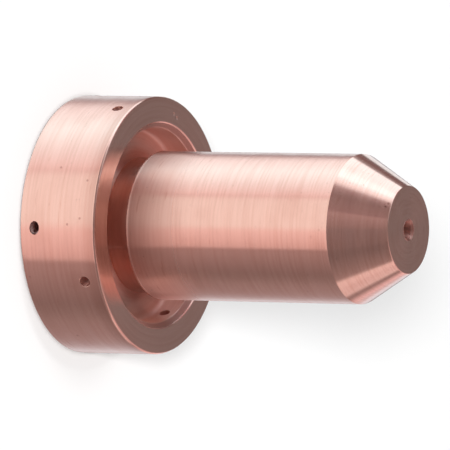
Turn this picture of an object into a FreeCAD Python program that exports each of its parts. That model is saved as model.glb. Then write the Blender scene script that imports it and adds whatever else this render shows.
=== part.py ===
import FreeCAD, Part
import os
import Sketcher

# Plasma torch nozzle, turned from one bar of copper and cross-drilled.
# The rear flange seats in the torch, the electrode stands in the chamber behind the orifice,
# and the arc leaves through the orifice in the nose.
# Frame: millimetres, +Z along the nozzle to the nose, z = 0 on the rear sealing face,
# X and Y through the four cup gas holes. The nozzle stands on its rear face.

# Sizes in mm, angles in degrees. Heights are given step by step from the rear face up.
SIZES = {
    "flange_diameter": 20.0,
    "flange_thickness": 6.6,
    # The body rises out of a ring recess in the flange, on a neck a little slimmer than itself.
    "body_diameter": 11.5,
    "shoulder_rise": 0.35,
    "body_length": 17.55,
    "cone_length": 4.0,
    "nose_diameter": 6.7,
    "recess_diameter": 15.2,
    "recess_depth": 2.4,
    "neck_undercut": 0.5,
    "recess_inner_radius": 1.0,
    "recess_outer_radius": 0.35,
    # Inside, from the rear: swirl chamber, mouth cone, electrode chamber, seat cone, orifice.
    "swirl_chamber_diameter": 12.8,
    "swirl_chamber_depth": 2.4,
    "mouth_cone_length": 2.2,
    "chamber_diameter": 8.4,
    "seat_cone_length": 3.55,
    "orifice_length": 2.95,
    "orifice_diameter": 1.3,
    # Four cup gas holes go straight in to the recess, four swirl holes run past the axis.
    "gas_hole_diameter": 0.85,
    "gas_hole_height": 5.25,
    "gas_hole_count": 4,
    "swirl_hole_diameter": 0.85,
    "swirl_hole_height": 1.27,
    "swirl_hole_offset": 5.9,
    "swirl_hole_turn": 12.0,
    "swirl_hole_count": 4,
    # Edges that the turning tool breaks.
    "rim_break": 0.12,
    "nose_break": 0.08,
    "lip_chamfer": 0.32,
    "mouth_chamfer": 0.3,
    "orifice_chamfer": 0.15,
}

SHEET = "sizes"
NEAR = 1e-4


# A coordinate is kept as its value and the expression that binds it to the sheet.
def half(name):
    return SIZES[name] / 2, f"{SHEET}.{name} / 2"


def total(*names):
    return sum(SIZES[name] for name in names), " + ".join(f"{SHEET}.{name}" for name in names)


def less(upper, lower):
    return upper[0] - lower[0], f"{upper[1]} - ({lower[1]})"


AXIS = REAR = (0.0, "")
NECK = less(half("body_diameter"), total("neck_undercut"))
FLANGE_FRONT = total("flange_thickness")
SHOULDER = total("flange_thickness", "shoulder_rise")
CONE_START = total("flange_thickness", "shoulder_rise", "body_length")
NOSE_FACE = total("flange_thickness", "shoulder_rise", "body_length", "cone_length")
RECESS_FLOOR = less(FLANGE_FRONT, total("recess_depth"))
MOUTH_CONE_END = total("swirl_chamber_depth", "mouth_cone_length")
ORIFICE_START = less(NOSE_FACE, total("orifice_length"))
SEAT_START = less(NOSE_FACE, total("orifice_length", "seat_cone_length"))


def make_sheet(doc):
    sheet = doc.addObject("Spreadsheet::Sheet", SHEET)
    for row, (name, value) in enumerate(SIZES.items(), 1):
        sheet.set(f"A{row}", name)
        sheet.set(f"B{row}", str(value))
        sheet.setAlias(f"B{row}", name)
    doc.recompute()


def origin_part(body, role):
    return next(item for item in body.Origin.OriginFeatures if item.Role == role)


def upright_sketch(body, name):
    """A sketch on the plane through the axis: its x is the radius, its y the height."""
    sketch = body.newObject("Sketcher::SketchObject", name)
    sketch.AttachmentSupport = [(origin_part(body, "XZ_Plane"), "")]
    sketch.MapMode = "FlatFace"
    return sketch


def bind(sketch, kind, geometry, point, coordinate, axis_line):
    """Hold a point at a distance from the origin, or on the axis line where that is zero."""
    value, expression = coordinate
    if not expression:
        sketch.addConstraint(Sketcher.Constraint("PointOnObject", geometry, point, axis_line))
        return
    index = sketch.addConstraint(Sketcher.Constraint(kind, -1, 1, geometry, point, value))
    sketch.setExpression(f"Constraints[{index}]", expression)


def draw_outline(sketch, corners):
    """Draw a closed half section through corners of radius and height, each tied to the sheet."""
    points = [FreeCAD.Vector(radius[0], height[0], 0) for radius, height in corners]
    for index, start in enumerate(points):
        sketch.addGeometry(Part.LineSegment(start, points[(index + 1) % len(points)]), False)
    for index in range(len(points)):
        follower = (index + 1) % len(points)
        sketch.addConstraint(Sketcher.Constraint("Coincident", index, 2, follower, 1))
    for index, (radius, height) in enumerate(corners):
        last_radius, last_height = corners[index - 1] if index else (None, None)
        if radius == last_radius:
            sketch.addConstraint(Sketcher.Constraint("Vertical", index - 1))
        else:
            bind(sketch, "DistanceX", index, 1, radius, -2)
        if height == last_height:
            sketch.addConstraint(Sketcher.Constraint("Horizontal", index - 1))
        else:
            bind(sketch, "DistanceY", index, 1, height, -1)


def add_feature(body, kind, name, **properties):
    feature = body.newObject(f"PartDesign::{kind}", name)
    for key, value in properties.items():
        setattr(feature, key, value)
    return feature


def settle(doc, feature, cuts_from=None):
    """Recompute, and stop if the feature failed or a cut took nothing away."""
    doc.recompute()
    if "Invalid" in feature.State or "Error" in feature.State or not feature.Shape.isValid():
        raise RuntimeError(f"{feature.Name} failed: {feature.State}")
    if cuts_from is not None and feature.Shape.Volume > cuts_from - NEAR:
        raise RuntimeError(f"{feature.Name} cut nothing")
    return feature


def round_edges(feature, places):
    """Names of the circular edges that lie at the given radii and heights."""
    names = []
    for number, edge in enumerate(feature.Shape.Edges, 1):
        if not isinstance(edge.Curve, Part.Circle):
            continue
        for radius, height in places:
            if abs(edge.Curve.Radius - radius[0]) > NEAR:
                continue
            if abs(edge.Curve.Center.z - height[0]) < NEAR:
                names.append(f"Edge{number}")
    if len(names) < len(places):
        raise RuntimeError(f"an edge to break is missing on {feature.Name}")
    return names


def turn_outside(doc, body):
    """Flange, neck, body and cone, turned in one setting."""
    sketch = upright_sketch(body, "outside_section")
    draw_outline(sketch, [
        (AXIS, REAR),
        (half("flange_diameter"), REAR),
        (half("flange_diameter"), FLANGE_FRONT),
        (NECK, FLANGE_FRONT),
        (NECK, SHOULDER),
        (half("body_diameter"), SHOULDER),
        (half("body_diameter"), CONE_START),
        (half("nose_diameter"), NOSE_FACE),
        (AXIS, NOSE_FACE),
    ])
    return settle(doc, add_feature(body, "Revolution", "outside", Profile=sketch,
                                   ReferenceAxis=(sketch, ["V_Axis"]), Angle=360.0))


def groove(doc, body, name, corners):
    before = body.Shape.Volume
    sketch = upright_sketch(body, f"{name}_section")
    draw_outline(sketch, corners)
    return settle(doc, add_feature(body, "Groove", name, Profile=sketch,
                                   ReferenceAxis=(sketch, ["V_Axis"]), Angle=360.0), before)


def cut_recess(doc, body):
    """Ring recess round the neck, which spreads the cup gas before it flows along the body."""
    groove(doc, body, "recess", [
        (NECK, RECESS_FLOOR),
        (half("recess_diameter"), RECESS_FLOOR),
        (half("recess_diameter"), FLANGE_FRONT),
        (NECK, FLANGE_FRONT),
    ])


def cut_bore(doc, body):
    """Swirl chamber, electrode chamber and orifice, bored from the rear."""
    return groove(doc, body, "bore", [
        (AXIS, REAR),
        (half("swirl_chamber_diameter"), REAR),
        (half("swirl_chamber_diameter"), total("swirl_chamber_depth")),
        (half("chamber_diameter"), MOUTH_CONE_END),
        (half("chamber_diameter"), SEAT_START),
        (half("orifice_diameter"), ORIFICE_START),
        (half("orifice_diameter"), NOSE_FACE),
        (AXIS, NOSE_FACE),
    ])


def dress_edges(doc, body, kind, size_property, name, size, places):
    """Round or chamfer circular edges by one size of the sheet."""
    base = body.Tip
    feature = add_feature(body, kind, name, Base=(base, round_edges(base, places)))
    feature.setExpression(size_property, f"{SHEET}.{size}")
    return settle(doc, feature)


def finish_edges(doc, body):
    flange, recess = half("flange_diameter"), half("recess_diameter")
    fillets = [
        ("recess_inner_radius", [(NECK, RECESS_FLOOR)]),
        ("recess_outer_radius", [(recess, RECESS_FLOOR)]),
    ]
    chamfers = [
        ("rim_break", [(flange, REAR), (flange, FLANGE_FRONT), (half("body_diameter"), SHOULDER)]),
        ("nose_break", [(half("nose_diameter"), NOSE_FACE)]),
        ("lip_chamfer", [(recess, FLANGE_FRONT)]),
        ("mouth_chamfer", [(half("swirl_chamber_diameter"), REAR)]),
        ("orifice_chamfer", [(half("orifice_diameter"), NOSE_FACE)]),
    ]
    for size, places in fillets:
        dress_edges(doc, body, "Fillet", "Radius", f"{size}_fillet", size, places)
    for size, places in chamfers:
        dress_edges(doc, body, "Chamfer", "Size", f"{size}_edges", size, places)


def circle_at(sketch, across, height, diameter):
    """A drill's circle, across from the axis and up from the rear face."""
    centre = FreeCAD.Vector(across[0], height[0], 0)
    circle = sketch.addGeometry(Part.Circle(centre, FreeCAD.Vector(0, 0, 1),
                                            SIZES[diameter] / 2), False)
    bind(sketch, "DistanceX", circle, 3, across, -2)
    bind(sketch, "DistanceY", circle, 3, height, -1)
    index = sketch.addConstraint(Sketcher.Constraint("Diameter", circle, SIZES[diameter]))
    sketch.setExpression(f"Constraints[{index}]", f"{SHEET}.{diameter}")


def repeat_round_axis(doc, body, original, name, count):
    before = body.Shape.Volume
    pattern = add_feature(body, "PolarPattern", name, Originals=[original],
                          Axis=(origin_part(body, "Z_Axis"), [""]), Angle=360.0)
    pattern.setExpression("Occurrences", f"{SHEET}.{count}")
    body.Tip = pattern
    return settle(doc, pattern, before)


def drill_gas_holes(doc, body):
    """Holes drilled straight in from the rim until they break into the recess."""
    before = body.Shape.Volume
    sketch = upright_sketch(body, "gas_hole_centre")
    sketch.setExpression("AttachmentOffset.Base.z", f"{SHEET}.flange_diameter / 2")
    circle_at(sketch, AXIS, total("gas_hole_height"), "gas_hole_diameter")
    doc.recompute()
    hole = add_feature(body, "Hole", "gas_hole", Profile=sketch)
    doc.recompute()
    hole.Threaded = False
    hole.DepthType = "Dimension"
    hole.DrillPoint = "Flat"
    hole.setExpression("Diameter", f"{SHEET}.gas_hole_diameter")
    hole.setExpression("Depth", f"({SHEET}.flange_diameter - {SHEET}.recess_diameter"
                                f" + {SHEET}.gas_hole_diameter) / 2")
    settle(doc, hole, before)
    repeat_round_axis(doc, body, hole, "gas_holes", "gas_hole_count")


def drill_swirl_holes(doc, body):
    """Holes that run past the axis into the rear chamber, so that the gas goes round in it."""
    before = body.Shape.Volume
    sketch = upright_sketch(body, "swirl_hole_centre")
    sketch.AttachmentOffset = FreeCAD.Placement(
        FreeCAD.Vector(0, 0, 0), FreeCAD.Rotation(FreeCAD.Vector(0, 1, 0), SIZES["swirl_hole_turn"]))
    sketch.setExpression("AttachmentOffset.Rotation.Angle", f"{SHEET}.swirl_hole_turn")
    circle_at(sketch, total("swirl_hole_offset"), total("swirl_hole_height"),
              "swirl_hole_diameter")
    hole = add_feature(body, "Pocket", "swirl_hole", Profile=sketch)
    hole.setExpression("Length", f"{SHEET}.flange_diameter / 2")
    settle(doc, hole, before)
    repeat_round_axis(doc, body, hole, "swirl_holes", "swirl_hole_count")


def make_nozzle(doc):
    body = doc.addObject("PartDesign::Body", "nozzle")
    body.Label = "nozzle"
    body.Placement = FreeCAD.Placement()
    turn_outside(doc, body)
    cut_recess(doc, body)
    cut_bore(doc, body)
    finish_edges(doc, body)
    drill_gas_holes(doc, body)
    drill_swirl_holes(doc, body)
    return body


def check(doc, parts):
    doc.recompute()
    for item in doc.Objects:
        if "Invalid" in item.State or "Error" in item.State:
            raise RuntimeError(f"{item.Name} failed: {item.State}")
    for part in parts:
        if part.Shape.isNull() or not part.Shape.isValid() or len(part.Shape.Solids) != 1:
            raise RuntimeError(f"{part.Label} isn't one valid solid")


def main():
    doc = FreeCAD.newDocument("plasma_torch_nozzle")
    make_sheet(doc)
    parts = [make_nozzle(doc)]
    check(doc, parts)
    os.makedirs("parts", exist_ok=True)
    for part in parts:
        part.Shape.exportStep(f"parts/{part.Label}.step")
        box = part.Shape.BoundBox
        print(f"{part.Label}: {part.Shape.Volume:.2f} mm3, "
              f"{box.XLength:.3f} x {box.YLength:.3f} x {box.ZLength:.3f} mm")


main()
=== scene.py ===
# %% [markdown]
# # A plasma torch nozzle, turned from copper
# This lesson dresses a finished CAD part in Blender. The nozzle is one piece of copper: a thick rear
# flange with a ring recess in its front, a hollow body, and a cone that ends in a small orifice. Nothing
# on it was cast or pressed. A lathe made every round surface and a drill made every hole, and the lesson
# works in the same order: outline, turning, drilling, surface, camera, light.

# %% [markdown]
# ## The frame
# The imported CAD model is the frame that everything is built in: metres, +Z along the nozzle to its nose,
# the rear face on z = 0. It is loaded first, and nothing in it is ever moved.

import math

import bmesh
import bpy
from mathutils import Matrix, Vector


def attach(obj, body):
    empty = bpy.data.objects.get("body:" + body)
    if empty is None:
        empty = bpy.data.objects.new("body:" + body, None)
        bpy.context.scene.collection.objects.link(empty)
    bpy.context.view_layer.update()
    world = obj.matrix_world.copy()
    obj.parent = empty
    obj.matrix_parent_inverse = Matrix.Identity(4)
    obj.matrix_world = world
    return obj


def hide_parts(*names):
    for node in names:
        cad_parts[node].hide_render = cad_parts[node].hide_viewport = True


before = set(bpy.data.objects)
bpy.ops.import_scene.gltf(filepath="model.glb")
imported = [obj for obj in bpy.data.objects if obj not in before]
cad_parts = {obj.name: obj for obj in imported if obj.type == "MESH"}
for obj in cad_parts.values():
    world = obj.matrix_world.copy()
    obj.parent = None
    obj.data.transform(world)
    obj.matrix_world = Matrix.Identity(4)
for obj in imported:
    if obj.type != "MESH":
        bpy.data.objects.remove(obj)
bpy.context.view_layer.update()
MM = 0.001

# %% [markdown]
# ## Two helpers
# Colours are easiest to pick as sRGB hex values, but a shader works in linear light. One function turns
# one into the other. One more adds a node with its settings and its links, so that each node tree below
# reads as a list of steps.

# %% Two helpers
def linear(hex_colour):
    channels = [int(hex_colour[i:i + 2], 16) / 255 for i in (1, 3, 5)]
    return tuple(c / 12.92 if c <= 0.04045 else ((c + 0.055) / 1.055) ** 2.4 for c in channels) + (1.0,)


def add(tree, kind, inputs=None, **settings):
    node = tree.nodes.new(kind)
    for name, value in settings.items():
        setattr(node, name, value)
    for key, value in (inputs or {}).items():
        if isinstance(value, bpy.types.NodeSocket):
            tree.links.new(value, node.inputs[key])
        else:
            node.inputs[key].default_value = value
    return node


print("Middle grey, #808080, is", round(linear("#808080")[0], 3), "in linear light")

# %% [markdown]
# ## The outline
# A turned part is fully described by half of its section. The corners below are pairs of radius and
# height in millimetres, going up the outside and back down through the bore. The third number is the
# radius of the corner's rounding: a turning tool and a deburring pad never leave a corner truly sharp, and
# those narrow roundings are what draws the bright lines along the edges of real metal. The body's rear
# edge also keeps a burr, a few hundredths of a millimetre high, which the tool pushed up as it cut the
# neck.

# %% Corners of the half section
FLANGE_R, FLANGE_H = 10.0, 6.6
BODY_R, SHOULDER_H, CONE_H = 5.75, 6.95, 24.5
NOSE_R, NOSE_H = 3.35, 28.5
RECESS_R, RECESS_FLOOR_H, NECK_R = 7.6, 4.2, 5.25
SWIRL_CHAMBER_R, SWIRL_CHAMBER_H = 6.4, 2.4
CHAMBER_R, CHAMBER_REAR_H, CHAMBER_FRONT_H = 4.2, 4.6, 22.0
ORIFICE_R, ORIFICE_REAR_H = 0.65, 25.55
LIP, MOUTH, ORIFICE_LIP = 0.45, 0.3, 0.15
BURR, BURR_WIDTH = 0.035, 0.04
OUTLINE = [
    (FLANGE_R, 0.0, 0.12),
    (FLANGE_R, FLANGE_H, 0.2),
    (RECESS_R + LIP, FLANGE_H, 0.05),
    (RECESS_R, FLANGE_H - LIP, 0.05),
    (RECESS_R, RECESS_FLOOR_H, 0.35),
    (NECK_R, RECESS_FLOOR_H, 1.0),
    (NECK_R, SHOULDER_H, 0.0),
    (BODY_R + BURR, SHOULDER_H, 0.02),
    (BODY_R + BURR, SHOULDER_H + BURR_WIDTH, 0.02),
    (BODY_R, SHOULDER_H + 5 * BURR_WIDTH, 0.2),
    (BODY_R, CONE_H, 0.04),
    (NOSE_R, NOSE_H, 0.12),
    (ORIFICE_R + ORIFICE_LIP, NOSE_H, 0.04),
    (ORIFICE_R, NOSE_H - ORIFICE_LIP, 0.04),
    (ORIFICE_R, ORIFICE_REAR_H, 0.0),
    (CHAMBER_R, CHAMBER_FRONT_H, 0.0),
    (CHAMBER_R, CHAMBER_REAR_H, 0.0),
    (SWIRL_CHAMBER_R, SWIRL_CHAMBER_H, 0.0),
    (SWIRL_CHAMBER_R, MOUTH, 0.0),
    (SWIRL_CHAMBER_R + MOUTH, 0.0, 0.0),
]
print("Half section:", len(OUTLINE), "corners")

# %% [markdown]
# Each rounding is an arc that touches both of its sides. The long straight runs are divided too, so that
# the drills later meet small, even faces instead of long thin strips.

# %% From corners to a smooth outline
LONGEST_STEP = 0.45


def round_corner(before, corner, after, radius, pieces=6):
    """Points of the arc that eases one corner, or the corner alone where it stays sharp."""
    corner = Vector(corner)
    back, ahead = (Vector(before) - corner).normalized(), (Vector(after) - corner).normalized()
    opening = back.angle(ahead)
    if radius == 0.0:
        return [corner]
    leg = radius / math.tan(opening / 2)
    centre = corner + (back + ahead).normalized() * radius / math.sin(opening / 2)
    start, end = corner + back * leg - centre, corner + ahead * leg - centre
    sweep = start.angle_signed(end)
    return [centre + Matrix.Rotation(-sweep * i / pieces, 2) @ start for i in range(pieces + 1)]


def divide(points, longest):
    """The closed outline with no step longer than the given one."""
    finer = []
    for here, there in zip(points, points[1:] + points[:1]):
        steps = max(1, math.ceil((there - here).length / longest))
        finer += [here.lerp(there, i / steps) for i in range(steps)]
    return finer


eased = []
for i, (corner_r, corner_h, rounding) in enumerate(OUTLINE):
    before, after = OUTLINE[i - 1][:2], OUTLINE[(i + 1) % len(OUTLINE)][:2]
    eased += round_corner(before, (corner_r, corner_h), after, rounding)
outline = divide(eased, LONGEST_STEP)
print("Outline:", len(outline), "points, radius", round(min(p.x for p in outline), 3), "to",
      round(max(p.x for p in outline), 3), "mm, height to", round(max(p.y for p in outline), 3), "mm")

# %% [markdown]
# The outline becomes a wire mesh in the XZ plane. It is the workpiece that the node tree takes in.

# %% The outline as a mesh
wire = bpy.data.meshes.new("nozzle_outline")
wire.from_pydata([(p.x * MM, 0.0, p.y * MM) for p in outline],
                 [(i, (i + 1) % len(outline)) for i in range(len(outline))], [])
workpiece = bpy.data.objects.new("nozzle_outline", wire)
bpy.context.scene.collection.objects.link(workpiece)
print("Wire:", len(wire.vertices), "points,", len(wire.edges), "edges")

# %% [markdown]
# ## Turning
# The whole nozzle follows one rule, the outline swept round the axis, so Geometry Nodes can turn it. A
# Screw modifier would do that too, but a tree keeps the turning and the drilling in one place, with named
# inputs. The turning starts from a flat grid with one row for each outline point and one column for each
# step round the axis, and one more of both, so that it can close on itself.

# %% The turning group: a flat grid
def new_group(name, sockets):
    """A Geometry Nodes group with geometry in and out, and the named inputs."""
    group = bpy.data.node_groups.new(name, "GeometryNodeTree")
    group.interface.new_socket("Geometry", in_out="INPUT", socket_type="NodeSocketGeometry")
    group.interface.new_socket("Geometry", in_out="OUTPUT", socket_type="NodeSocketGeometry")
    for socket, kind in sockets:
        group.interface.new_socket(socket, in_out="INPUT", socket_type=kind)
    return group, add(group, "NodeGroupInput").outputs, add(group, "NodeGroupOutput")


turning, given, result = new_group("Turn round Z", [("Steps", "NodeSocketInt")])
count = add(turning, "GeometryNodeAttributeDomainSize", {0: given["Geometry"]}).outputs["Point Count"]
rows = add(turning, "ShaderNodeMath", {0: count, 1: 1.0}, operation="ADD").outputs[0]
columns = add(turning, "ShaderNodeMath", {0: given["Steps"], 1: 1.0}, operation="ADD").outputs[0]
sheet = add(turning, "GeometryNodeMeshGrid", {"Vertices X": rows, "Vertices Y": columns}).outputs["Mesh"]
print("Turning group: inputs", ", ".join(socket.name for socket in given if socket.name))

# %% [markdown]
# The grid's points are numbered one row after another, so a point's number gives its row and its column.
# Each point moves to its row's outline point, turned by its column's angle. Welding closes the seam, and
# nothing is left open because the outline is a closed loop.

# %% The turning group: every point to its place
WELD = 1e-7
index = add(turning, "GeometryNodeInputIndex").outputs[0]
row = add(turning, "ShaderNodeMath", {0: index, 1: columns}, operation="DIVIDE").outputs[0]
row = add(turning, "ShaderNodeMath", {0: row}, operation="FLOOR").outputs[0]
row = add(turning, "ShaderNodeMath", {0: row, 1: count}, operation="MODULO").outputs[0]
column = add(turning, "ShaderNodeMath", {0: index, 1: columns}, operation="MODULO").outputs[0]
share = add(turning, "ShaderNodeMath", {0: column, 1: given["Steps"]}, operation="DIVIDE").outputs[0]
angle = add(turning, "ShaderNodeMath", {0: share, 1: math.tau}, operation="MULTIPLY").outputs[0]
place = add(turning, "GeometryNodeInputPosition").outputs[0]
picked = add(turning, "GeometryNodeSampleIndex",
             {"Geometry": given["Geometry"], "Value": place, "Index": row},
             data_type="FLOAT_VECTOR", domain="POINT").outputs[0]
turned = add(turning, "ShaderNodeVectorRotate", {"Vector": picked, "Angle": angle},
             rotation_type="Z_AXIS").outputs[0]
moved = add(turning, "GeometryNodeSetPosition", {"Geometry": sheet, "Position": turned}).outputs[0]
welded = add(turning, "GeometryNodeMergeByDistance", {"Geometry": moved, "Distance": WELD}).outputs[0]
outwards = add(turning, "GeometryNodeFlipFaces", {"Mesh": welded}).outputs[0]
turning.links.new(outwards, result.inputs[0])
print("Turning group:", len(turning.nodes), "nodes")

# %% [markdown]
# ## Drilling
# Two rings of holes are drilled through the flange. Four straight holes lead from the rim into the front
# recess. Four more lie nearer the rear and run past the axis instead of at it, so that the gas spins as it
# enters. A drill is placed once, and a second group repeats it round the axis, as a dividing head does.

# %% A node group that repeats a tool round the axis
dividing, given, result = new_group("Repeat round Z", [("Count", "NodeSocketInt")])
stops = add(dividing, "GeometryNodePoints", {"Count": given["Count"]}).outputs[0]
index = add(dividing, "GeometryNodeInputIndex").outputs[0]
share = add(dividing, "ShaderNodeMath", {0: index, 1: given["Count"]}, operation="DIVIDE").outputs[0]
angle = add(dividing, "ShaderNodeMath", {0: share, 1: math.tau}, operation="MULTIPLY").outputs[0]
spin = add(dividing, "ShaderNodeCombineXYZ", {"Z": angle}).outputs[0]
copies = add(dividing, "GeometryNodeInstanceOnPoints",
             {"Points": stops, "Instance": given["Geometry"], "Rotation": spin}).outputs[0]
dividing.links.new(copies, result.inputs[0])
print("Dividing group:", len(dividing.nodes), "nodes")

# %% [markdown]
# The main tree joins the two steps. Its inputs are the sizes that a drawing would give.

# %% The main tree: inputs and blank
SIZES_MM = {
    "Gas hole diameter": 0.85, "Gas hole height": 5.25, "Gas hole depth": 2.825, "Deburr": 0.03,
    "Swirl hole diameter": 0.85, "Swirl hole height": 1.27, "Swirl hole offset": 5.9,
    "Rim radius": FLANGE_R,
}
COUNTS = {"Steps": 288, "Gas hole count": 4, "Swirl hole count": 4}
SWIRL_TURN = math.radians(12)
making, given, result = new_group(
    "Turn and drill",
    [(name, "NodeSocketFloat") for name in SIZES_MM] + [(name, "NodeSocketInt") for name in COUNTS]
    + [("Swirl turn", "NodeSocketFloat"), ("Finish", "NodeSocketMaterial")])
blank = add(making, "GeometryNodeGroup", node_tree=turning)
making.links.new(given["Geometry"], blank.inputs["Geometry"])
making.links.new(given["Steps"], blank.inputs["Steps"])
print("Main tree: inputs", ", ".join(socket.name for socket in given if socket.name))

# %% [markdown]
# The straight drill is a cylinder that lies along X, from the bottom of the hole to a little way outside
# the rim. Real holes there have a deburred mouth, a chamfer of a few hundredths of a millimetre. A short
# cone on the same line cuts it. It starts two chamfers inside the rim and ends one outside it, and is as
# wide as the drill halfway to the rim, so that it is one chamfer wider there.

# %% The main tree: the straight drill
CLEAR = 2.0 * MM
DRILL_SIDES = 40
QUARTER = math.pi / 2
drill_r = add(making, "ShaderNodeMath", {0: given["Gas hole diameter"], 1: 0.5},
              operation="MULTIPLY").outputs[0]
drill_length = add(making, "ShaderNodeMath", {0: given["Gas hole depth"], 1: CLEAR},
                   operation="ADD").outputs[0]
drill = add(making, "GeometryNodeMeshCylinder",
            {"Vertices": DRILL_SIDES, "Radius": drill_r, "Depth": drill_length}).outputs["Mesh"]
past_rim = add(making, "ShaderNodeMath", {0: CLEAR, 1: given["Gas hole depth"]},
               operation="SUBTRACT").outputs[0]
past_rim = add(making, "ShaderNodeMath", {0: past_rim, 1: 0.5}, operation="MULTIPLY").outputs[0]
middle = add(making, "ShaderNodeMath", {0: given["Rim radius"], 1: past_rim}, operation="ADD").outputs[0]
seat = add(making, "ShaderNodeCombineXYZ", {"X": middle, "Z": given["Gas hole height"]}).outputs[0]
drill = add(making, "GeometryNodeTransform",
            {"Geometry": drill, "Translation": seat, "Rotation": (0.0, QUARTER, 0.0)}).outputs[0]
print("Straight drill:", DRILL_SIDES, "sides,", CLEAR / MM, "mm clear of the rim")

# %% The main tree: the deburring cone
wide_r = add(making, "ShaderNodeMath", {0: given["Deburr"], 1: 2.0, 2: drill_r},
             operation="MULTIPLY_ADD").outputs[0]
narrow_r = add(making, "ShaderNodeMath", {0: drill_r, 1: given["Deburr"]},
               operation="SUBTRACT").outputs[0]
cone_length = add(making, "ShaderNodeMath", {0: given["Deburr"], 1: 3.0},
                  operation="MULTIPLY").outputs[0]
cone = add(making, "GeometryNodeMeshCone",
           {"Vertices": DRILL_SIDES, "Radius Top": wide_r, "Radius Bottom": narrow_r,
            "Depth": cone_length}).outputs["Mesh"]
cone_x = add(making, "ShaderNodeMath", {0: given["Deburr"], 1: -2.0, 2: given["Rim radius"]},
             operation="MULTIPLY_ADD").outputs[0]
cone_seat = add(making, "ShaderNodeCombineXYZ", {"X": cone_x, "Z": given["Gas hole height"]}).outputs[0]
cone = add(making, "GeometryNodeTransform",
           {"Geometry": cone, "Translation": cone_seat, "Rotation": (0.0, QUARTER, 0.0)}).outputs[0]
print("Deburring cone: a chamfer of", SIZES_MM["Deburr"], "mm")

# %% [markdown]
# The swirl drill is laid along Y first, beside the axis by its offset, and is then turned about Z. It
# ends at the middle of the nozzle, so it cuts one wall and not the one across from it.

# %% The main tree: the drill that runs past the axis
swirl_r = add(making, "ShaderNodeMath", {0: given["Swirl hole diameter"], 1: 0.5},
              operation="MULTIPLY").outputs[0]
swirl_length = add(making, "ShaderNodeMath", {0: given["Rim radius"], 1: CLEAR},
                   operation="ADD").outputs[0]
swirl = add(making, "GeometryNodeMeshCylinder",
            {"Vertices": DRILL_SIDES, "Radius": swirl_r, "Depth": swirl_length}).outputs["Mesh"]
swirl_middle = add(making, "ShaderNodeMath", {0: swirl_length, 1: 0.5}, operation="MULTIPLY").outputs[0]
swirl_seat = add(making, "ShaderNodeCombineXYZ",
                 {"X": given["Swirl hole offset"], "Y": swirl_middle,
                  "Z": given["Swirl hole height"]}).outputs[0]
swirl = add(making, "GeometryNodeTransform",
            {"Geometry": swirl, "Translation": swirl_seat, "Rotation": (QUARTER, 0.0, 0.0)}).outputs[0]
swirl_spin = add(making, "ShaderNodeCombineXYZ", {"Z": given["Swirl turn"]}).outputs[0]
swirl = add(making, "GeometryNodeTransform", {"Geometry": swirl, "Rotation": swirl_spin}).outputs[0]
print("Swirl drill: turned by", round(math.degrees(SWIRL_TURN), 1), "degrees")

# %% [markdown]
# One Boolean cuts every hole. The Manifold solver is fast and keeps a closed solid closed. Faces are
# shaded smooth, and edges that fold by more than 28 degrees are marked sharp: the hole mouths fold more,
# and the steps of each rounding fold less. The tree ends in Realize Instances and Set Material, because
# an export drops instances and empty slots.

# %% The main tree: cut, mark the sharp edges, finish
SHARP_FOLD = math.radians(28)
cut = add(making, "GeometryNodeMeshBoolean", {"Mesh 1": blank.outputs[0]},
          operation="DIFFERENCE", solver="MANIFOLD")
for tool, number in ((drill, "Gas hole count"), (cone, "Gas hole count"), (swirl, "Swirl hole count")):
    tools = add(making, "GeometryNodeGroup", node_tree=dividing)
    making.links.new(tool, tools.inputs["Geometry"])
    making.links.new(given[number], tools.inputs["Count"])
    solid = add(making, "GeometryNodeRealizeInstances", {0: tools.outputs[0]})
    making.links.new(solid.outputs[0], cut.inputs["Mesh 2"])
smooth = add(making, "GeometryNodeSetShadeSmooth", {"Geometry": cut.outputs["Mesh"]},
             domain="FACE").outputs[0]
fold = add(making, "GeometryNodeInputMeshEdgeAngle").outputs["Unsigned Angle"]
sharp = add(making, "FunctionNodeCompare", {0: fold, 1: SHARP_FOLD},
            data_type="FLOAT", operation="GREATER_THAN").outputs[0]
creased = add(making, "GeometryNodeSetShadeSmooth",
              {"Geometry": smooth, "Selection": sharp, "Shade Smooth": False},
              domain="EDGE").outputs[0]
plain = add(making, "GeometryNodeRealizeInstances", {0: creased}).outputs[0]
finished = add(making, "GeometryNodeSetMaterial",
               {"Geometry": plain, "Material": given["Finish"]}).outputs[0]
making.links.new(finished, result.inputs[0])
print("Main tree:", len(making.nodes), "nodes")

# %% [markdown]
# ## The surface: fine turned copper
# Copper reflects nearly all red light and about half of the blue, which gives its pink. The lathe leaves
# a groove that runs round the part, too fine to see one by one. Such grooves scatter light along the
# nozzle and not round it, so the reflections of the studio keep crisp edges round the body but smear along
# it. That is anisotropy. A tangent that runs round Z, with a quarter turn of rotation, gives it.
# The coordinate that counts the grooves is height minus radius: it grows along a cylinder, across a flat
# face and down a cone alike, so one pattern serves every surface that the tool went over.

# %% Coordinates on a turned part
copper = bpy.data.materials.new("turned_copper")
copper.use_nodes = True
shade = copper.node_tree
shade.nodes.clear()
spot = add(shade, "ShaderNodeTexCoord").outputs["Object"]
axes = add(shade, "ShaderNodeSeparateXYZ", {0: spot}).outputs
flat = add(shade, "ShaderNodeCombineXYZ", {"X": axes["X"], "Y": axes["Y"]}).outputs[0]
height = axes["Z"]
radius = add(shade, "ShaderNodeVectorMath", {0: flat}, operation="LENGTH").outputs["Value"]
around = add(shade, "ShaderNodeVectorMath", {0: flat}, operation="NORMALIZE").outputs["Vector"]
along = add(shade, "ShaderNodeMath", {0: height, 1: radius}, operation="SUBTRACT").outputs[0]
print("Material:", copper.name)

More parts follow.
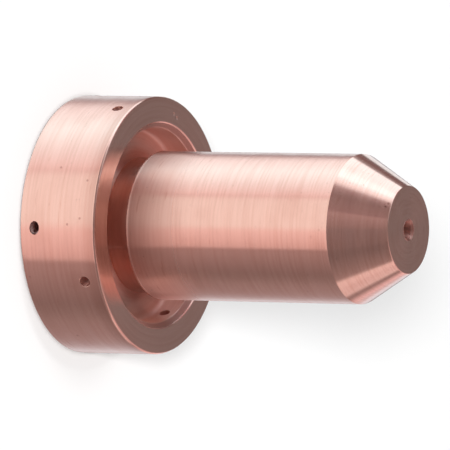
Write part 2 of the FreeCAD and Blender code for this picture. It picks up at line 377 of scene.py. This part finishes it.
# %% [markdown]
# A finishing pass feeds about 0.06 mm a turn. That is finer than a pixel here, so the grooves are drawn
# 0.2 mm apart. A second pattern, a little wider, picks out the odd dark scratch. The third and slowest is
# chatter: bands a millimetre or so wide where the tool cut a little brighter or duller. The arc sets how
# often the noise changes on the way round, and so how long each mark is.

# %% Grooves, scratches and bands
def groove_pattern(spacing_mm, arc, detail):
    """Noise drawn out round the axis: fine along the nozzle, slow round it."""
    lengthwise = add(shade, "ShaderNodeMath", {0: along, 1: 1 / (spacing_mm * MM)},
                     operation="MULTIPLY").outputs[0]
    roundwise = add(shade, "ShaderNodeVectorMath", {0: around, "Scale": arc},
                    operation="SCALE").outputs["Vector"]
    offset = add(shade, "ShaderNodeCombineXYZ", {"Z": lengthwise}).outputs[0]
    where = add(shade, "ShaderNodeVectorMath", {0: roundwise, 1: offset},
                operation="ADD").outputs["Vector"]
    return add(shade, "ShaderNodeTexNoise", {"Vector": where, "Scale": 1.0, "Detail": detail}).outputs["Fac"]


grooves = groove_pattern(spacing_mm=0.2, arc=1.3, detail=1.5)
scratches = groove_pattern(spacing_mm=0.32, arc=2.4, detail=2.0)
bands = groove_pattern(spacing_mm=1.3, arc=0.7, detail=2.0)
line = add(shade, "ShaderNodeMapRange",
           {"Value": grooves, "From Min": 0.4, "From Max": 0.72, "To Max": 0.3}).outputs["Result"]
scratch = add(shade, "ShaderNodeMapRange",
              {"Value": scratches, "From Min": 0.69, "From Max": 0.76, "To Max": 0.5},
              interpolation_type="SMOOTHSTEP").outputs["Result"]
line = add(shade, "ShaderNodeMath", {0: line, 1: scratch}, operation="ADD").outputs[0]
print("Turning marks:", len(shade.nodes), "nodes so far")

# %% [markdown]
# Handling and warm storage leave a faint brown tarnish in soft patches, with small dark specks where a
# drop or a finger rested. Both are weak, because the part is new.

# %% Tarnish and specks
PATCH, SPECK = 3.0 * MM, 0.22 * MM
patches = add(shade, "ShaderNodeTexNoise",
              {"Vector": spot, "Scale": 1 / PATCH, "Detail": 4.0}).outputs["Fac"]
specks = add(shade, "ShaderNodeTexNoise",
             {"Vector": spot, "Scale": 1 / SPECK, "Detail": 2.0}).outputs["Fac"]
tarnish = add(shade, "ShaderNodeMapRange",
              {"Value": patches, "From Min": 0.5, "From Max": 0.8, "To Max": 0.3},
              interpolation_type="SMOOTHSTEP").outputs["Result"]
speck = add(shade, "ShaderNodeMapRange",
            {"Value": specks, "From Min": 0.68, "From Max": 0.8, "To Max": 0.35},
            interpolation_type="SMOOTHSTEP").outputs["Result"]
print("Patches of", PATCH / MM, "mm, specks of", SPECK / MM, "mm")

# %% [markdown]
# A few marks on this nozzle can be told apart one by one: dark pits on the flange's rim and near the nose,
# and two bright nicks in the flange's front face. Each is placed by its radius, its turn round the axis
# and its height. The nicks are pressed into the surface by the bump further down.

# %% Pits and nicks
PIT_DARKNESS = 0.42


def marks(places, size_mm):
    """One inside small round marks, each placed by its radius, its turn in degrees and its height."""
    total = 0.0
    for out_mm, degrees, height_mm in places:
        turn = math.radians(degrees)
        centre = Vector((out_mm * math.cos(turn), out_mm * math.sin(turn), height_mm)) * MM
        apart = add(shade, "ShaderNodeVectorMath", {0: spot, 1: centre},
                    operation="DISTANCE").outputs["Value"]
        one = add(shade, "ShaderNodeMapRange",
                  {"Value": apart, "From Min": 0.4 * size_mm * MM, "From Max": size_mm * MM,
                   "To Min": 1.0, "To Max": 0.0}, interpolation_type="SMOOTHSTEP").outputs["Result"]
        total = add(shade, "ShaderNodeMath", {0: one, 1: total}, operation="ADD").outputs[0]
    return total


RIM_PITS = [(FLANGE_R, 38.2, 3.0), (FLANGE_R, 44.2, 5.6), (FLANGE_R, 64.0, 4.2), (FLANGE_R, 61.3, 5.3),
            (FLANGE_R, 123.2, 2.4)]
CONE_PITS = [(3.49, 29.1, 28.27), (3.56, 34.4, 28.14)]
FACE_NICKS = [(8.86, -38.3, FLANGE_H), (8.68, -41.8, FLANGE_H)]
pits = marks(RIM_PITS + CONE_PITS, size_mm=0.13)
nicks = marks(FACE_NICKS, size_mm=0.16)
speck = add(shade, "ShaderNodeMath", {0: pits, 1: PIT_DARKNESS, 2: speck},
            operation="MULTIPLY_ADD").outputs[0]
print("Marks:", len(RIM_PITS + CONE_PITS), "pits and", len(FACE_NICKS), "nicks")

# %% [markdown]
# The finish isn't the same all over. Drilled walls are rougher than turned ones, and so is the recess,
# where the tool chattered. The body is rougher where it starts, just in front of the neck, and gets finer
# over the first few millimetres. The rim's colour is darkened towards its front edge, a painted shade.
# Radius and height tell these zones apart, so each is a product of ranges, with limits counted from the
# outline's sizes. LEAST and MOST lie beyond every size of the part, and stand where a range has no limit
# on one side.

# %% Zones with a finish of their own
EASE, LEAST, MOST = 0.02, -1.0, 30.0


def zone(*ranges):
    """One where each value is in its range of millimetres, fading to nothing over its ease."""
    inside = 1.0
    for value, low_mm, high_mm, ease_mm in ranges:
        for whole_mm, gone_mm in ((low_mm, low_mm - ease_mm), (high_mm, high_mm + ease_mm)):
            limit = add(shade, "ShaderNodeMapRange",
                        {"Value": value, "From Min": gone_mm * MM, "From Max": whole_mm * MM})
            inside = add(shade, "ShaderNodeMath", {0: limit.outputs["Result"], 1: inside},
                         operation="MULTIPLY").outputs[0]
    return inside


flange_holes = zone((radius, RECESS_R + 0.06, FLANGE_R - 0.1, EASE), (height, 0.1, FLANGE_H - 0.1, EASE))
orifice = zone((radius, LEAST, ORIFICE_R + 0.19, EASE))
holes = add(shade, "ShaderNodeMath", {0: flange_holes, 1: orifice}, operation="MAXIMUM").outputs[0]
swirl_level = zone((height, 0.1, SWIRL_CHAMBER_H - 0.2, EASE))
recess = zone((radius, NECK_R + 0.05, RECESS_R + 0.03, EASE),
              (height, RECESS_FLOOR_H - 0.1, FLANGE_H - 0.4, EASE))
body_rear = zone((radius, BODY_R - 0.05, BODY_R + 0.005, EASE),
                 (height, SHOULDER_H - 0.05, SHOULDER_H + 1.35, 4.0))
rim = zone((radius, FLANGE_R - 0.05, MOST, 0.09), (height, LEAST, FLANGE_H - 0.22, 0.05))
# Painted shade: the rim's colour darkens towards its front edge.
towards_front = add(shade, "ShaderNodeMapRange",
                    {"Value": height, "From Min": (FLANGE_H - 1.7) * MM, "From Max": FLANGE_H * MM,
                     "To Max": 0.55}, interpolation_type="SMOOTHSTEP").outputs["Result"]
rim_painted_shade = add(shade, "ShaderNodeMath", {0: towards_front, 1: rim}, operation="MULTIPLY").outputs[0]
print("With the zones:", len(shade.nodes), "nodes")

# %% [markdown]
# The colour is laid on in coats, each with its share of the surface. Clean copper is a pale pink. Tarnish
# and grooves take it towards brown, and a painted shade darkens the rim towards its front edge. Specks
# and pits are darker still. The walls of a hole mirror each other again and again, and each time the
# colour deepens, so the walls get painted light: their colour is set paler, more for the long swirl holes
# than for the short gas holes. A Mix node has sockets for every kind of value under the same few names,
# so its colour sockets are picked by number.

# %% The colour, coat by coat
COLOUR_A, COLOUR_B, COLOUR_OUT = 6, 7, 2
CLEAN_COPPER = linear("#F5C7B8")
# Painted light: the hole walls are coloured pale, the long swirl holes palest, so their insides look less
# dark.
hole_walls_painted_light = add(shade, "ShaderNodeMix",
              {0: swirl_level, COLOUR_A: linear("#F6C2B4"), COLOUR_B: linear("#FFE0DA")},
              data_type="RGBA").outputs[COLOUR_OUT]
colour = CLEAN_COPPER
for part_covered, coat in ((tarnish, linear("#E3AC9B")), (line, linear("#E0A592")),
                           (rim_painted_shade, linear("#C99686")), (holes, hole_walls_painted_light), (speck, linear("#8A4B3A"))):
    colour = add(shade, "ShaderNodeMix", {0: part_covered, COLOUR_A: colour, COLOUR_B: coat},
                 data_type="RGBA").outputs[COLOUR_OUT]
print("Clean copper in linear light:", [round(c, 3) for c in CLEAN_COPPER[:3]])

# %% [markdown]
# Fine turned copper has a roughness of about 0.2. The bands move it a little, and each zone adds its
# share. Flat faces and the cone, which look forwards, were cut finer than the cylinders. The relief is the
# grooves and the bands, a few thousandths of a millimetre deep, and the nicks, nearly a tenth of one deep.

# %% Roughness and relief
normal = add(shade, "ShaderNodeNewGeometry").outputs["Normal"]
normal = add(shade, "ShaderNodeVectorTransform", {0: normal}, vector_type="NORMAL",
             convert_from="WORLD", convert_to="OBJECT").outputs[0]
upward = add(shade, "ShaderNodeSeparateXYZ", {0: normal}).outputs["Z"]
faced = add(shade, "ShaderNodeMapRange", {"Value": upward, "From Min": 0.1, "From Max": 0.5},
            interpolation_type="SMOOTHSTEP").outputs["Result"]
rough = add(shade, "ShaderNodeMapRange", {"Value": bands, "From Min": 0.3, "From Max": 0.7,
                                          "To Min": 0.215, "To Max": 0.25}).outputs["Result"]
for where, more in ((tarnish, 0.05), (faced, -0.045), (body_rear, 0.12), (holes, 0.5), (recess, 0.16)):
    rough = add(shade, "ShaderNodeMath", {0: where, 1: more, 2: rough},
                operation="MULTIPLY_ADD").outputs[0]
BUMP = 0.0018 * MM
relief = grooves
for where, steps in ((bands, 2.5), (nicks, -50.0)):
    relief = add(shade, "ShaderNodeMath", {0: where, 1: steps, 2: relief},
                 operation="MULTIPLY_ADD").outputs[0]
bump = add(shade, "ShaderNodeBump", {"Height": relief, "Distance": BUMP, "Strength": 1.0}).outputs[0]
print("Bump: one step of relief is", BUMP / MM, "mm")

# %% [markdown]
# One Principled shader takes it all. The metal keeps the default IOR. Full anisotropy is right for a
# turned surface, and the quarter turn lays the smear across the grooves.

# %% The shader
run = add(shade, "ShaderNodeTangent", direction_type="RADIAL", axis="Z").outputs[0]
metal = add(shade, "ShaderNodeBsdfPrincipled", {
    "Base Color": colour, "Metallic": 1.0, "Roughness": rough, "Normal": bump, "Tangent": run,
    "Anisotropic": 1.0, "Anisotropic Rotation": 0.25})
add(shade, "ShaderNodeOutputMaterial", {"Surface": metal.outputs[0]})
print("Turned copper:", len(shade.nodes), "nodes")

# %% [markdown]
# ## Turn it
# The tree now runs on the outline. Its inputs are set by the sockets' identifiers before the first
# evaluation. The result is copied to a plain mesh, and the modifier goes with the workpiece.

# %% Run the tree
modifier = workpiece.modifiers.new("Turn and drill", "NODES")
modifier.node_group = making
wanted = {name: size * MM for name, size in SIZES_MM.items()}
wanted.update(COUNTS)
wanted.update({"Swirl turn": SWIRL_TURN, "Finish": copper})
for socket in making.interface.items_tree:
    if socket.in_out == "INPUT" and socket.name in wanted:
        modifier[socket.identifier] = wanted[socket.name]
workpiece.data.update()
depsgraph = bpy.context.evaluated_depsgraph_get()
shell = bpy.data.meshes.new_from_object(workpiece.evaluated_get(depsgraph), depsgraph=depsgraph,
                                        preserve_all_data_layers=True)
shell.name = "copper_nozzle"
bpy.data.objects.remove(workpiece)
nozzle = bpy.data.objects.new("copper_nozzle", shell)
bpy.context.scene.collection.objects.link(nozzle)
shell.calc_loop_triangles()
print("Nozzle:", len(shell.vertices), "points,", len(shell.loop_triangles), "triangles")

# %% [markdown]
# A solid is only a solid if every edge has exactly two faces and the faces point outwards. Both are
# measured here: the volume inside comes out positive only if the faces face the right way.

# %% Check the solid
probe = bmesh.new()
probe.from_mesh(shell)
loose = sum(1 for edge in probe.edges if len(edge.link_faces) != 2)
print("Open or crowded edges:", loose, " volume in mm3:", round(probe.calc_volume(signed=True) / MM**3, 2))
probe.free()

# %% [markdown]
# The new piece stands for the CAD node, which is no longer shown but stays in the simulation.

# %% Ride on the frame
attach(nozzle, "root")
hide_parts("nozzle")
print(nozzle.name, "rides on root and stands for the CAD node nozzle")

# %% [markdown]
# ## The camera
# The photograph was taken from about 0.6 m with a long lens, from 29.5 degrees in front of the flange's
# plane, and with the nozzle lying on its side. The part stands on its flange here, so the camera is
# rolled a quarter turn instead.

# %% Camera
AZIMUTH, ELEVATION, ROLL = math.radians(63.68), math.radians(29.54), math.radians(91.05)
DISTANCE, LENS_MM, SENSOR_MM = 0.620, 642.0, 36.0
AIM = Vector((-0.35351, -0.98502, 11.83547)) * MM
near = Vector((math.cos(AZIMUTH) * math.cos(ELEVATION), math.sin(AZIMUTH) * math.cos(ELEVATION),
               math.sin(ELEVATION)))
axis = Vector((0.0, 0.0, 1.0))
level = axis.cross(near).normalized()
upright = near.cross(level)
up = upright * math.cos(ROLL) - level * math.sin(ROLL)
right = up.cross(near)
lens = bpy.data.cameras.new("camera")
lens.sensor_width, lens.lens = SENSOR_MM, LENS_MM
camera = bpy.data.objects.new("camera", lens)
aimed = Matrix((right, up, near)).transposed()
camera.matrix_world = Matrix.Translation(AIM + near * DISTANCE) @ aimed.to_4x4()
bpy.context.scene.collection.objects.link(camera)
bpy.context.scene.camera = camera
print("Photo axes in the frame: right", [round(c, 3) for c in right], "up", [round(c, 3) for c in up])

# %% [markdown]
# ## The studio
# Bare metal has no look of its own: it shows what stands round it, so the studio is worked out from the
# bands that the photographed metal mirrors. A cylinder mirrors strips that run along it, and their edges
# stay crisp only if the strips are parallel to the nozzle. The studio is therefore a round of strips, each
# with a first and a last turn about the nozzle in degrees. Zero is the camera's side, 90 is above the
# nozzle in the picture and -90 below it. A strip's light runs evenly from its first colour to its last.
# The colours are in linear light, where 1 is white, and a softbox may be brighter than that.
# The cylinders mirror what is behind the nozzle, on the flange's side. The cone mirrors what is in front
# of it, and the flat faces and the rounded edges what is far ahead. So there are three rounds.

# %% The strips behind
BEHIND = [
    ("dark room, below", -180, -168, (0.27, 0.23, 0.23), (0.27, 0.23, 0.23)),
    ("far wall, lower part", -164, -151, (0.90, 1.05, 1.15), (0.80, 0.90, 1.00)),
    ("far end of the table", -149, -129, (0.62, 0.64, 0.70), (0.38, 0.34, 0.35)),
    ("table under the part", -127, -76, (0.37, 0.315, 0.33), (0.24, 0.195, 0.19)),
    ("near end of the table", -75, -37, (0.24, 0.19, 0.19), (0.44, 0.34, 0.34)),
    ("edge of the table", -35.2, -33.2, (0.38, 0.28, 0.28), (0.38, 0.28, 0.28)),
    ("edge of the left screen", -32, -30.2, (0.90, 0.71, 0.70), (0.90, 0.71, 0.70)),
    ("left screen, lower part", -29, -6, (0.84, 0.635, 0.62), (1.04, 0.86, 0.85)),
    ("left screen, upper part", 2, 46, (1.09, 1.08, 1.07), (1.09, 1.11, 1.11)),
    ("gap beside the left screen", 46.8, 48.0, (0.75, 0.55, 0.55), (0.75, 0.55, 0.55)),
    ("softbox, near part", 49, 94, (1.05, 0.93, 0.95), (1.22, 1.62, 1.76)),
    ("softbox, far part", 96, 132, (1.22, 1.62, 1.76), (1.15, 1.24, 1.32)),
    ("gap above the far wall", 138, 149, (0.38, 0.28, 0.30), (0.20, 0.16, 0.17)),
    ("far wall, upper part", 152, 166, (1.10, 1.35, 1.45), (1.00, 1.20, 1.30)),
    ("dark room, above", 168, 180, (0.27, 0.23, 0.23), (0.27, 0.23, 0.23)),
]
print("Behind:", len(BEHIND), "strips")

# %% The strips in front and far ahead
IN_FRONT = [
    ("dark room, below", -180, -160, (0.25, 0.20, 0.195), (0.25, 0.20, 0.195)),
    ("edge of the backdrop", -152, -138, (1.30, 0.98, 1.00), (1.15, 0.84, 0.86)),
    ("dark room, far below", -126, -122, (0.30, 0.25, 0.25), (0.30, 0.25, 0.25)),
    ("card on the table", -116, -88, (0.86, 0.77, 0.77), (0.84, 0.72, 0.71)),
    ("table beside the card", -85, -46, (0.36, 0.29, 0.29), (0.17, 0.145, 0.15)),
    ("camera side, lower part", -45, -2, (0.17, 0.145, 0.15), (0.22, 0.185, 0.20)),
    ("camera side, upper part", 2, 26, (0.28, 0.21, 0.22), (0.45, 0.34, 0.36)),
    ("gap beside the softbox", 29, 56, (0.30, 0.21, 0.23), (0.23, 0.175, 0.19)),
    ("spill of the softbox", 58, 68, (0.26, 0.20, 0.22), (0.40, 0.30, 0.33)),
    ("softbox, edge", 74, 84, (1.12, 1.20, 1.28), (1.45, 1.75, 1.92)),
    ("softbox", 86, 127, (1.55, 2.1, 2.3), (1.45, 1.85, 2.05)),
    ("dark room, above", 131, 180, (0.12, 0.085, 0.085), (0.20, 0.16, 0.155)),
]
FAR_AHEAD = [
    ("dark room, below", -180, -160, (0.225, 0.21, 0.215), (0.225, 0.21, 0.215)),
    ("pale light, low", -150, -104, (0.66, 0.50, 0.51), (0.74, 0.50, 0.51)),
    ("pale light, near side", -102, -94, (1.10, 0.96, 0.96), (1.10, 0.96, 0.96)),
    ("dark room, near side", -87, 66, (0.26, 0.21, 0.20), (0.26, 0.21, 0.20)),
    ("softbox, seen from below", 84, 101, (1.00, 1.15, 1.25), (1.25, 1.60, 1.80)),
    ("warm spill", 106, 121, (0.70, 0.48, 0.52), (0.46, 0.28, 0.32)),
    ("dark room, above", 129, 180, (0.20, 0.16, 0.16), (0.225, 0.21, 0.215)),
]
print("In front:", len(IN_FRONT), "strips, far ahead:", len(FAR_AHEAD), "strips")

# %% [markdown]
# Two things are worked out for each ray: its turn about the nozzle, which picks the strip, and how far it
# leans ahead, which picks the round. On the camera's side the borders between the rounds lie a little
# further ahead, so these two leans are measured along tilted lines.

# %% The turn and the lean of a ray
FRONT_TILT, FAR_TILT = 0.14, 0.3
world = bpy.data.worlds.new("studio")
bpy.context.scene.world = world
world.use_nodes = True
studio = world.node_tree
studio.nodes.clear()
facing = (near - axis * near.dot(axis)).normalized()
WAYS = {"facing": facing, "beside": facing.cross(axis), "front": axis - FRONT_TILT * facing,
        "far ahead": axis - FAR_TILT * facing}
direction = add(studio, "ShaderNodeTexCoord").outputs["Generated"]
lean = {name: add(studio, "ShaderNodeVectorMath", {0: direction, 1: way},
                  operation="DOT_PRODUCT").outputs["Value"] for name, way in WAYS.items()}
turn = add(studio, "ShaderNodeMath", {0: lean["beside"], 1: lean["facing"]},
           operation="ARCTAN2").outputs[0]
turn = add(studio, "ShaderNodeMath", {0: turn, 1: 1 / math.tau, 2: 0.5},
           operation="MULTIPLY_ADD").outputs[0]
print("The camera's side lies towards", [round(c, 3) for c in facing])

# %% [markdown]
# Each round becomes one colour ramp, with a stop at the first and at the last turn of every strip. The
# round behind is laid down first. The other two fade in over it, from the lean where they begin to the
# lean where they are whole.

# %% Each round as a colour ramp
def light_round(tree, turn, strips):
    """The colour of the light at one turn about the nozzle."""
    ramp = add(tree, "ShaderNodeValToRGB", {0: turn})
    stops = ramp.color_ramp.elements
    stops.remove(stops[1])
    for _, first, last, from_colour, to_colour in strips:
        for degrees, colour in ((first, from_colour), (last, to_colour)):
            stop = stops[0] if degrees == -180 else stops.new(degrees / 360 + 0.5)
            stop.color = colour + (1.0,)
    return ramp.outputs["Color"]


AHEAD = [("front", -0.01, 0.06, IN_FRONT), ("far ahead", 0.35, 0.43, FAR_AHEAD)]
seen = light_round(studio, turn, BEHIND)
for name, begins, whole, strips in AHEAD:
    reached = add(studio, "ShaderNodeMapRange",
                  {"Value": lean[name], "From Min": begins, "From Max": whole},
                  interpolation_type="SMOOTHSTEP").outputs["Result"]
    seen = add(studio, "ShaderNodeMix",
               {0: reached, COLOUR_A: seen, COLOUR_B: light_round(studio, turn, strips)},
               data_type="RGBA").outputs[COLOUR_OUT]
print("Colour ramps:", 1 + len(AHEAD))

# %% [markdown]
# Three kinds of ray see three things. A ray that mirrors in the metal sees the strips. A camera ray that
# misses the part sees plain white. Every other ray sees a plain, even grey, which lights the floor. A ray
# that has already left the floor sees that grey in the metal too, so no pink gleam falls round the part.

# %% What each ray sees
AMBIENT, WHITE = (0.38, 0.38, 0.38, 1.0), (1.0, 1.0, 1.0, 1.0)
rays = add(studio, "ShaderNodeLightPath").outputs
mirrored = add(studio, "ShaderNodeMath", {0: rays["Is Glossy Ray"], 1: rays["Diffuse Depth"]},
               operation="SUBTRACT", use_clamp=True).outputs[0]
plain = add(studio, "ShaderNodeMix", {0: rays["Is Camera Ray"], COLOUR_A: AMBIENT, COLOUR_B: WHITE},
            data_type="RGBA").outputs[COLOUR_OUT]
seen = add(studio, "ShaderNodeMix", {0: mirrored, COLOUR_A: plain, COLOUR_B: seen},
           data_type="RGBA").outputs[COLOUR_OUT]
glow = add(studio, "ShaderNodeBackground", {"Color": seen, "Strength": 1.0}).outputs[0]
add(studio, "ShaderNodeOutputWorld", {"Surface": glow})
print("Studio:", len(studio.nodes), "nodes")

# %% [markdown]
# ## The floor
# The floor is plain matt card. It scatters light evenly, so the eye gets shadow from it and no gleam. The
# nozzle lay on its side for the photograph, so the card that it stands on here wasn't where its sides
# could mirror it. The floor is therefore left out of what glossy rays see, and throws no shadow of its
# own. It lies a hair below the rear face, so that the two don't share a plane.

# %% Floor
FLOOR_R, FLOOR_GAP = 3.0, 0.02 * MM
white = bpy.data.materials.new("matt_white_card")
white.use_nodes = True
card = white.node_tree.nodes["Principled BSDF"]
card.inputs["Base Color"].default_value = linear("#F9F9F9")
card.inputs["Roughness"].default_value = 0.9
card.inputs["Specular IOR Level"].default_value = 0.1
card_mesh = bpy.data.meshes.new("floor")
disc = bmesh.new()
bmesh.ops.create_circle(disc, cap_ends=True, segments=96, radius=FLOOR_R)
bmesh.ops.translate(disc, verts=disc.verts, vec=(0.0, 0.0, -FLOOR_GAP))
disc.to_mesh(card_mesh)
disc.free()
card_mesh.materials.append(white)
floor = bpy.data.objects.new("floor", card_mesh)
bpy.context.scene.collection.objects.link(floor)
floor.visible_glossy = False
floor.visible_shadow = False
print("Floor:", 2 * FLOOR_R, "m across")

# %% [markdown]
# ## Three lamps
# A soft key lamp stands beside the camera, a little above it, and throws the pale shadow that shows just
# under the body. A second lamp, straight over the nose, brings the floor up to white. A weaker third one
# leans from there towards the top of the picture, and lays a soft shadow below the nozzle. None of them
# shows in the metal, which the strips light.

# %% Lamps
def add_lamp(name, towards, distance, size, power):
    """A round soft lamp that looks at the aim point from the given direction."""
    light = bpy.data.lights.new(name, "AREA")
    light.shape, light.size, light.energy = "DISK", size, power
    lamp = bpy.data.objects.new(name, light)
    towards = towards.normalized()
    turned_to_part = towards.to_track_quat("Z", "Y").to_matrix().to_4x4()
    lamp.matrix_world = Matrix.Translation(AIM + towards * distance) @ turned_to_part
    bpy.context.scene.collection.objects.link(lamp)
    lamp.visible_glossy = False
    print(name, "stands", distance, "m away,", size, "m wide,", power, "W")


add_lamp("key_lamp", near + 0.058 * up - 0.021 * right, distance=1.2, size=0.14, power=8.4)
add_lamp("overhead_lamp", axis, distance=1.0, size=0.1, power=3.4)
add_lamp("window_lamp", axis + 0.25 * up, distance=1.0, size=0.12, power=1.2)

# %% [markdown]
# ## Colour view
# Colours are shown as they are, with the Standard view.

# %% Colour view
bpy.context.scene.view_settings.view_transform = "Standard"
